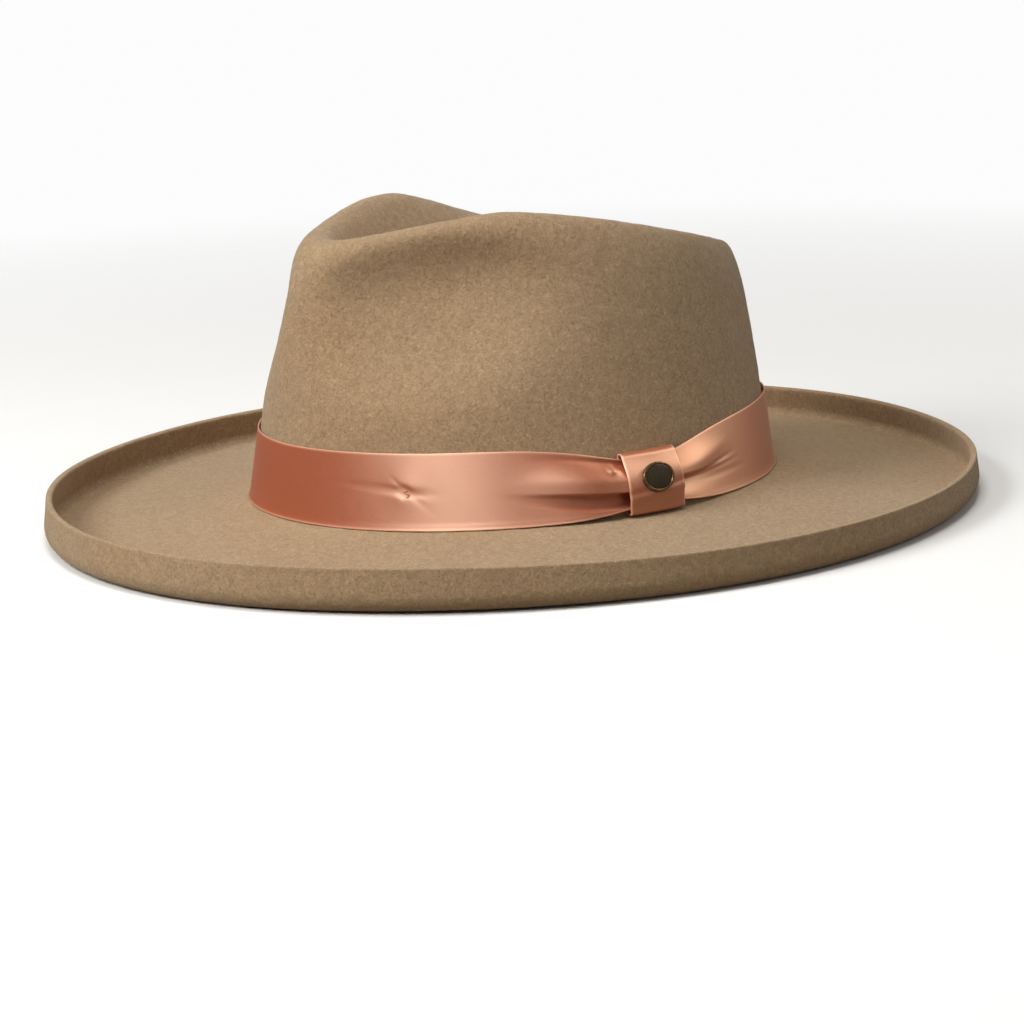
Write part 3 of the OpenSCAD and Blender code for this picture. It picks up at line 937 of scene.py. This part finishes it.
def make_ribbon(material):
    u = ribbon_stations()
    v = np.concatenate([np.linspace(0, 0.06, 6), np.linspace(0.06, 0.94, 52)[1:-1], np.linspace(0.94, 1, 6)])
    uu, vv = grid(u, v)
    a = uu + KEEPER_AT
    z = ribbon_z(uu, vv)
    puff = ribbon_puff(uu, vv)
    outer = off_wall(a, z, -puff)
    inner = off_wall(a, z, -puff + RIBBON_T)[:, ::3][:, ::-1]
    sections = outlines(outer, inner, CLOTH_EDGE)
    marks = np.concatenate([v, [1.0], v[::3][::-1], [0.0]])
    across = np.append(marks, 0) * RIBBON_H
    # The pale band along both edges is partly the woven selvage and partly a painted highlight on the edges
    selvage = bell(np.minimum(marks, 1 - marks), 0.022, 3) * 0.75
    selvage = np.broadcast_to(selvage, sections.shape[:2])
    piece = ring_piece("ribbon_band", sections, material, across, selvage)
    return keep(piece, "ribbon", "hat_band")


# ---- keeper
KEEPER_LOW = BREAK_Z + SQUEEZE_LOW - 1.6
KEEPER_HIGH = BREAK_Z + RIBBON_H - SQUEEZE_HIGH + 2.2
KEEPER_T = 0.6
KEEPER_FRONT = 6.3
KEEPER_BACK = 0.5
KEEPER_TURN = 0.9


def keeper_front(h, w):
    """How far the keeper's face stands off the felt: h from its foot to its top, w from edge to edge."""
    belly = 3.3 * bell(h - 0.52, 0.42, 2.4)
    foot = 0.6 * bell(h, 0.2)
    crumple = 0.16 * np.sin(7 * h + 2.4 * w) * (1 - w**2)
    crumple += 0.3 * bell(h - 0.30 - 0.08 * w, 0.07) - 0.22 * bell(h - 0.41 - 0.05 * w, 0.06)
    return 2.7 + belly + foot + crumple - 0.45 * np.abs(w) ** 5


def keeper_loop(w):
    """One closed turn of the keeper's outside at a place across it, as (height, distance off the felt)."""
    h = np.linspace(0, 1, 34)
    front = np.stack([lerp(KEEPER_LOW, KEEPER_HIGH, h), keeper_front(h, w)], -1)
    back = np.stack([np.linspace(KEEPER_HIGH, KEEPER_LOW, 14), np.full(14, KEEPER_BACK)], -1)

    def fold(z, off, way):
        turn = np.linspace(0, 180, 9)[1:-1]
        r = (off - KEEPER_BACK) / 2
        return np.stack([z + way * KEEPER_TURN * sind(turn), KEEPER_BACK + r + way * r * cosd(turn)], -1)

    over, under = fold(KEEPER_HIGH, front[-1, 1], 1), fold(KEEPER_LOW, front[0, 1], -1)
    return np.concatenate([front, over, back, under])


def thickened(loop, t):
    """The loop moved inwards by its cloth's thickness."""
    ahead = unit(np.roll(loop, -1, 0) - np.roll(loop, 1, 0))
    return loop + t * np.stack([-ahead[:, 1], ahead[:, 0]], -1)


def make_keeper(material):
    middle = np.linspace(-0.94, 0.94, 40)[1:-1]
    w = np.concatenate([np.linspace(-1, -0.94, 4), middle, np.linspace(0.94, 1, 4)])
    outside, inside = [], []
    for x in w:
        loop = keeper_loop(x)
        bow = 0.12 * np.sin(np.linspace(0, 2 * math.pi, len(loop)))
        a = KEEPER_AT + KEEPER_HALF * x + 0.25 * x * bow
        for shape, into in ((loop, outside), (thickened(loop, KEEPER_T), inside)):
            into.append(off_wall(a, shape[:, 0], -shape[:, 1]))
    outside, inside = np.array(outside), np.array(inside)
    first = (outside[0] + inside[0]) / 2 + unit(outside[0] - outside[1]) * CLOTH_EDGE
    last = (outside[-1] + inside[-1]) / 2 + unit(outside[-1] - outside[-2]) * CLOTH_EDGE
    rows = np.concatenate([outside, [last], inside[::-1], [first]])
    marks = np.concatenate([w, [1.05], w[::-1], [-1.05]])
    uv = grid_uv(np.append(marks, marks[0]) * KEEPER_W / 2, round_lengths(outside[20]))[:, ::-1]
    # The pale side edges are partly the woven selvage and partly a painted highlight where light catches them
    selvage = bell(1 - np.minimum(np.abs(marks), 1), 0.045, 3) * 0.9
    selvage = np.broadcast_to(selvage[:, None], rows.shape[:2])
    faces = grid_faces(*rows.shape[:2], True, True)
    piece = build("ribbon_keeper", rows, [faces], material, uv, selvage)
    return keep(piece, "ribbon", "band_keeper")


# ---- badge
BADGE_Z = BREAK_Z + RIBBON_H / 2 - 0.3
BADGE_T = 1.5
BADGE_OFF = KEEPER_FRONT + 0.1
BEZEL_W = 1.15
BEZEL_ROUND = 0.42
BEZEL_LIP = 0.22
ENAMEL_DOME = 0.36


def on_badge(x, y, out):
    at, side, rise, ahead = felt_frame(KEEPER_AT, BADGE_Z, -BADGE_OFF)
    return at + wide(x) * side + wide(y) * rise + wide(out) * ahead


def lathe_oval(profile):
    """An oval turned shape: each profile point is an inset along the longer axis and a height."""
    t = full_turn(96)
    rings = []
    for inset, height in profile:
        share = 1 - 2 * inset / BADGE_W
        rings.append(on_badge(BADGE_W / 2 * share * cosd(t), BADGE_H / 2 * share * sind(t), height + 0 * t))
    return np.array(rings)


def arc(centre, radius, start, end, count):
    x, y = centre
    return [(x + radius * cosd(t), y + radius * sind(t)) for t in np.linspace(start, end, count)]


def capped(name, rings, material):
    m, n = rings.shape[:2]
    return build(name, rings, [grid_faces(m, n, False, True, turned=True), *end_caps(m, n)], material)


def make_badge(brass, enamel):
    top, seat = BADGE_T - 0.3, BADGE_T - 0.8
    profile = [(0.35, 0.0), (0.08, 0.06), (0.0, 0.3), (0.0, top - BEZEL_ROUND)]
    profile += arc((BEZEL_ROUND, top - BEZEL_ROUND), BEZEL_ROUND, 180, 90, 7)[1:]
    profile += arc((BEZEL_W - BEZEL_LIP, top - BEZEL_LIP), BEZEL_LIP, 90, 0, 5)
    profile += [(BEZEL_W, seat), (BEZEL_W + 0.2, seat - 0.02)]
    keep(capped("badge_bezel", lathe_oval(profile), brass), "badge_brass", "badge_rim")
    inset, height = BEZEL_W + 0.14, top - BEZEL_LIP
    field = [(BEZEL_W + 0.04, seat), (BEZEL_W + 0.04, height - 0.1), (inset, height)]
    for share in np.linspace(0.08, 0.97, 14):
        field.append((lerp(inset, BADGE_W / 2, share), height + ENAMEL_DOME * (1 - (1 - share) ** 2)))
    keep(capped("badge_enamel_field", lathe_oval(field), enamel), "badge_enamel", "badge_inlay")


# ---- threads on the band
def make_band_threads(material):
    lines = []
    for a in TACKS:
        for k, (tilt, up) in enumerate([(25, 0.55), (-15, -0.35), (40, -1.1)]):
            t = np.linspace(-1, 1, 9)
            u = wrap(a - KEEPER_AT) + (0.35 + 0.25 * k) + t * 0.55 * cosd(tilt)
            z = BREAK_Z + RIBBON_H / 2 + up + t * 0.9 * sind(tilt)
            v = (z - ribbon_z(u, 0)) / (ribbon_z(u, 1) - ribbon_z(u, 0))
            lift = ribbon_puff(u, v) + 0.28 - 0.75 * t**4
            lines.append(off_wall(u + KEEPER_AT, z, -lift))
    keep(thread_piece("band_tack_threads", lines, 0.22, material), "band_thread", "band_tack_stitches")


def make_keeper_threads(material):
    lines = []
    for k in range(-2, 3):
        a = KEEPER_AT + k * 2.6 + np.linspace(-0.6, 0.6, 9)
        z = KEEPER_LOW - 1.0 + 0.12 * np.cos(np.linspace(-math.pi, math.pi, 9))
        lines.append(off_wall(a, z, np.full(9, -2.6)))
    keep(thread_piece("keeper_closing_threads", lines, 0.2, material), "band_thread", "keeper_stitches")


# ---- sweatband
SWEAT_STITCHES = 72
SEWN_Z = CROWN_Z0 + 1.2
# What lies on the leather is this far off it
LAID_GAP = 0.22


def closed_section(a, heights, outer, inner, round_by):
    """Closed outlines round the hat: up the outside face, over the top, down the inside face."""
    aa, zz = grid(a, heights)
    up = inside_point(aa, zz, outer(aa, zz))
    down = inside_point(aa, zz, inner(aa, zz))[:, ::-1]
    return outlines(up, down, round_by)


def closed_marks(heights, extra=0.0):
    """How far across the cloth each point of a closed section is."""
    top, bottom = [heights[-1] + extra], [heights[0] - extra]
    return np.concatenate([heights, top, heights[::-1], bottom, heights[:1]])


def leather_dent(a, z):
    """The leather is pulled in a little at each stitch and ripples softly towards its free edge."""
    stitch = cosd(SWEAT_STITCHES * a) * bell(z - SEWN_Z, 2.2) * 0.10
    free = ease((z - 20) / 24) * ripple(a, 0.4, [(5, 0.18), (9, 0.14), (16, 0.07)])
    return stitch + free


def make_sweatband(material):
    heights = np.concatenate([np.linspace(SWEAT_Z0, CROWN_Z0, 5)[:-1], np.linspace(CROWN_Z0, SWEAT_TOP, 30)])
    sections = closed_section(
        full_turn(540), heights,
        lambda aa, zz: SWEAT_D + np.maximum(leather_dent(aa, zz), -0.3),
        lambda aa, zz: SWEAT_IN + leather_dent(aa, zz),
        0.3,
    )
    piece = ring_piece("leather_sweatband", sections, material, closed_marks(heights, 0.3))
    keep(piece, "sweatband_leather", "sweatband")


def make_reed(material):
    aa, bb = grid(full_turn(360), full_turn(14))
    sections = oval(aa, -REED_D + REED_R * cosd(bb), REED_Z + REED_R * sind(bb))
    keep(ring_piece("sweatband_reed_cord", sections, material), "reed_plastic", "sweatband_reed")


def make_reed_tape(material):
    """The tape is folded round the reed, with a wavy sewn look on both of its legs."""
    a = full_turn(720)
    inside, outside = REED_R + 0.1, REED_R + 0.5
    turn = np.linspace(0, -180, 13)
    outline = [(-outside, 0.9), *((-outside * cosd(b), outside * sind(b)) for b in turn), (outside, 0.9)]
    outline += [(inside, 0.9), *((-inside * cosd(b), inside * sind(b)) for b in turn[::-1]), (-inside, 0.9)]
    rib = 0.05 * cosd(180 * np.arange(len(a)))
    sections = [oval(a, -REED_D - x * (1 + 0.02 * rib), REED_Z + z + rib * (z < 0)) for x, z in outline]
    keep(ring_piece("reed_cover_tape", np.stack(sections, 1), material), "trim_tape", "reed_tape")


def make_sweat_stitches(material):
    lines = []
    for k in range(SWEAT_STITCHES):
        t = np.linspace(-1, 1, 11)
        a = (k + 0.5) * 360 / SWEAT_STITCHES + 1.12 * t
        z = SEWN_Z + 0.10 * math.sin(2.4 * k)
        lines.append(inside_point(a, z + 0 * t, SWEAT_IN + 0.42 - 0.55 * t**4))
    piece = thread_piece("sweatband_sewing_thread", lines, 0.24, material)
    keep(piece, "sweatband_thread", "sweatband_stitches")


def patch_sections(a, heights, thick):
    """Outlines of a flat patch that lies on the leather."""
    at = SWEAT_IN + LAID_GAP
    return closed_section(a, heights, lambda aa, zz: at, lambda aa, zz: at + thick, 0.08)


def make_seam_tape(material):
    heights = np.linspace(CROWN_Z0 + 2.2, SWEAT_TOP - 1, 24)
    a = np.linspace(BACK - 3.2, BACK + 3.2, 26)
    sections = patch_sections(a, heights, 0.4)
    piece = strip_piece("sweatband_join_tape", sections, material, closed_marks(heights))
    return keep(piece, "trim_tape", "sweatband_seam_tape")


def make_bow(material):
    """A small flat bow: two folded loops and a knot, sewn over the join."""
    at, side, rise, out = felt_frame(BACK, CROWN_Z0 + 9, SWEAT_IN + 0.75)
    verts, faces, ends, start = [], [], [], 0

    def place(x, y, z):
        return at + wide(x) * side + wide(y) * rise - wide(z) * out

    across = np.linspace(-1, 1, 9)
    for sign in (-1, 1):
        tt, ww = grid(np.linspace(0, 1, 30), across)
        arch = np.sin(math.pi * tt)
        x = sign * (0.6 + 7.2 * arch**0.8)
        y = ww * (1.1 + 2.2 * arch**0.9) - 0.3 * sign
        z = 0.35 + 1.25 * tt + 0.12 * np.cos(6 * tt) + 0.1 * np.abs(ww)
        both = np.concatenate([place(x, y, z), place(x, y, z + 0.22)[:, ::-1]], 1)
        n, k = both.shape[:2]
        verts.append(both.reshape(-1, 3))
        faces.append(grid_faces(n, k, False, True, turned=sign < 0, start=start))
        ends += end_caps(n, k, start, sign)
        start += n * k
    tt, ww = grid(full_turn(24), across)
    knot = place(ww * 1.3 * (1 - 0.12 * cosd(tt)), 1.75 * sind(tt), 1.15 + 1.0 * cosd(tt))
    n, k = knot.shape[:2]
    verts.append(knot.reshape(-1, 3))
    faces.append(grid_faces(n, k, True, False, start=start))
    rim = start + np.arange(n)[None, :] * k
    ends += [rim, rim[:, ::-1] + k - 1]
    loop_uv = grid_uv(np.linspace(0, 22, 30), np.linspace(0, 12, 19))
    knot_uv = grid_uv(np.linspace(0, 9, 25), np.linspace(0, 3, 9))
    uv = np.concatenate([loop_uv, loop_uv, knot_uv])
    piece = build("sweatband_marker_bow", np.concatenate(verts), [np.concatenate(faces), *ends], material, uv)
    return keep(piece, "trim_tape", "sweatband_bow")


# ---- lining
TIP_D = LINING_D + LINING_SLACK + LINING_T + 0.4
TIP_RISE = 1.6
TIP_GIRTH = 450
LINING_CLOTH = 0.4


def slack(z):
    return LINING_SLACK * ease((z - SWEAT_TOP) / 20)


def lining_gather(a, z):
    """Soft gathers, deeper towards the seam at the tip. They only ever fall inwards."""
    up = ease((z - 40) / 44)
    folds = ripple(a, 0.7, [(9, 0.32), (14, 0.3), (23, 0.22), (37, 0.10)])
    return np.maximum(folds + 0.35, 0) * (0.15 + 0.95 * up)


def make_lining_side(material):
    heights = np.linspace(20, LINING_TOP, 44)

    def depth(aa, zz):
        return LINING_D + slack(zz) + lining_gather(aa, zz)

    sections = closed_section(
        full_turn(600), heights, depth, lambda aa, zz: depth(aa, zz) + LINING_CLOTH, 0.12)
    piece = ring_piece("satin_lining_side", sections, material, closed_marks(heights))
    return keep(piece, "lining_satin", "lining_side")


def make_lining_tip(material):
    """The oval top of the lining, with small puckers all round where it is sewn to the side."""
    a = full_turn(360)
    edge = at_height(a, LINING_TOP - 1, TIP_D)
    rings = []
    for v in 1 - np.linspace(1, 0.05, 34) ** 1.4:
        ring = lerp(edge, CREASE_MIDDLE, v)
        pucker = 0.5 * ripple(a, 1.9, [(18, 0.4), (31, 0.35), (47, 0.25)]) * bell(v, 0.22)
        sag = -0.5 * np.sin(3 * v) + 0.25 * ripple(a, 3.3, [(2, 0.5), (3, 0.5)]) * ease(3 * v) * (1 - v)
        rings.append(raised(ring, LINING_TOP - 0.6 + TIP_RISE * (1 - (1 - v) ** 2) + pucker + sag))
    both = np.concatenate([rings[::-1], np.array(rings) - [0, 0, LINING_CLOTH]])
    m, n = both.shape[:2]
    uv = grid_uv(lengths(both[:, 0]), np.linspace(0, TIP_GIRTH, n + 1), turned=True)
    faces = [grid_faces(m, n, False, True, turned=True), *end_caps(m, n, turn=-1)]
    return keep(build("satin_lining_tip", both, faces, material, uv), "lining_satin", "lining_tip")


def make_piping(material):
    r = 0.8
    a, b = full_turn(900), full_turn(12)
    centre = at_height(a, LINING_TOP - 1, TIP_D + r)
    reach = r * (1 + 0.07 * cosd(b * 2 + a[:, None] * 150))
    p = centre[:, None] - inward(a)[:, None] * wide(reach * cosd(b))
    p[..., 2] = LINING_TOP - 1.2 - r + reach * sind(b)
    return keep(ring_piece("lining_seam_piping", p, material), "lining_satin", "lining_piping")


# ---- labels
def label_piece(name, sections, heights, material):
    """A label with a darker edge all round."""
    rows = len(heights)
    edge = np.zeros(sections.shape[:2])
    edge[[0, -1]] = 1
    edge[:, [0, rows - 1, rows, rows + 1, -2, -1]] = 1
    return strip_piece(name, sections, material, closed_marks(heights), edge)


def make_size_label(material):
    heights = np.linspace(CROWN_Z0 + 6, CROWN_Z0 + 18, 18)
    a = np.linspace(BACK - 17, BACK - 10, 18)
    piece = label_piece("blank_size_label", patch_sections(a, heights, 0.28), heights, material)
    return keep(piece, "label", "size_label")


def make_care_label(material):
    """The label hangs from the sweatband's edge, so its free end curls off the lining a little."""
    heights = np.linspace(SWEAT_TOP - 8, SWEAT_TOP + 22, 34)
    a = np.linspace(BACK + 14, BACK + 25, 24)

    def depth(aa, zz):
        free = ease((zz - SWEAT_TOP) / 22)
        curl = 1.6 * free + 0.5 * free * cosd((aa - BACK - 19.5) * 14)
        return LINING_D + LINING_T + 0.9 + slack(zz) + curl * (zz > SWEAT_TOP)

    sections = closed_section(a, heights, depth, lambda aa, zz: depth(aa, zz) + 0.28, 0.05)
    piece = label_piece("blank_care_label", sections, heights, material)
    return keep(piece, "label", "care_label")


# ---- floor
FLOOR_RADII = (400, 1200, 3000, 9000)
# The floor fades out between these distances from its middle, in metres
FLOOR_FADE = (0.3, 0.75)


def make_floor():
    """A pale floor that fades away into the pale background."""
    count = 128
    a = full_turn(count)
    rings = np.array([points(r * cosd(a), r * sind(a), 0) for r in FLOOR_RADII])
    m = Shader("studio_floor", Specular_IOR_Level=0.1)
    seen = m.add("LightPath").outputs["Is Camera Ray"]
    # Pale to look at, but it throws little light back up at the hat
    colour = m.mix(seen, (0.34, 0.30, 0.25, 1), (0.94, 0.94, 0.94, 1))
    m.put(Base_Color=colour, Roughness=m.scaled(m.noise(60, 2, 0.5), 0.3, 0.7, 0.85, 0.95))
    clear = m.add("BsdfTransparent")
    away = m.add("VectorMath", {0: m.place}, operation="LENGTH").outputs["Value"]
    fade = m.scaled(away, *FLOOR_FADE)
    blend = m.add("MixShader", {0: fade, 1: m.surface.outputs[0], 2: clear.outputs[0]})
    m.tree.links.new(blend.outputs[0], m.tree.nodes["Material Output"].inputs["Surface"])
    faces = grid_faces(len(rings), count, False, True)
    floor = build("studio_floor", rings, [faces, [list(range(count))[::-1]]], m.material)
    floor.location.z = -0.2 * MM


# ---- CAD nodes that stay
def repaint(node, material):
    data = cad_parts[node].data
    data.materials.clear()
    data.materials.append(material)


# ---- the hat
make_camera()
make_lights()
make_world()
make_floor()

# The pale edge colour is near the satin's highlight: partly the selvage's colour, partly painted highlight
ribbon_satin = satin_material("ribbon_satin", SATIN, tone(232, 170, 140), 0.5, 2.0)
band_thread = thread_material("band_thread", tone(214, 140, 112))
brass = brass_material()

make_felt(felt_material())
ribbon = make_ribbon(ribbon_satin)
keeper = make_keeper(ribbon_satin)
make_badge(brass, enamel_material())
make_band_threads(band_thread)
make_keeper_threads(band_thread)
repaint("band_join_stitches", band_thread)
repaint("badge_backing", brass)

tape = tape_material("grosgrain_tape", tone(96, 62, 40))
make_sweatband(leather_material())
make_reed(reed_material())
make_reed_tape(tape)
make_sweat_stitches(thread_material("sewing_thread", tone(202, 169, 135)))
seam_tape = make_seam_tape(tape)
make_bow(tape)

lining_satin = satin_material("lining_satin", tone(64, 50, 42), tone(74, 58, 49), 0.42, 1.5)
lining = make_lining_side(lining_satin)
lining_top = make_lining_tip(lining_satin)
make_piping(lining_satin)
label = label_material()
size_label = make_size_label(label)
care_label = make_care_label(label)
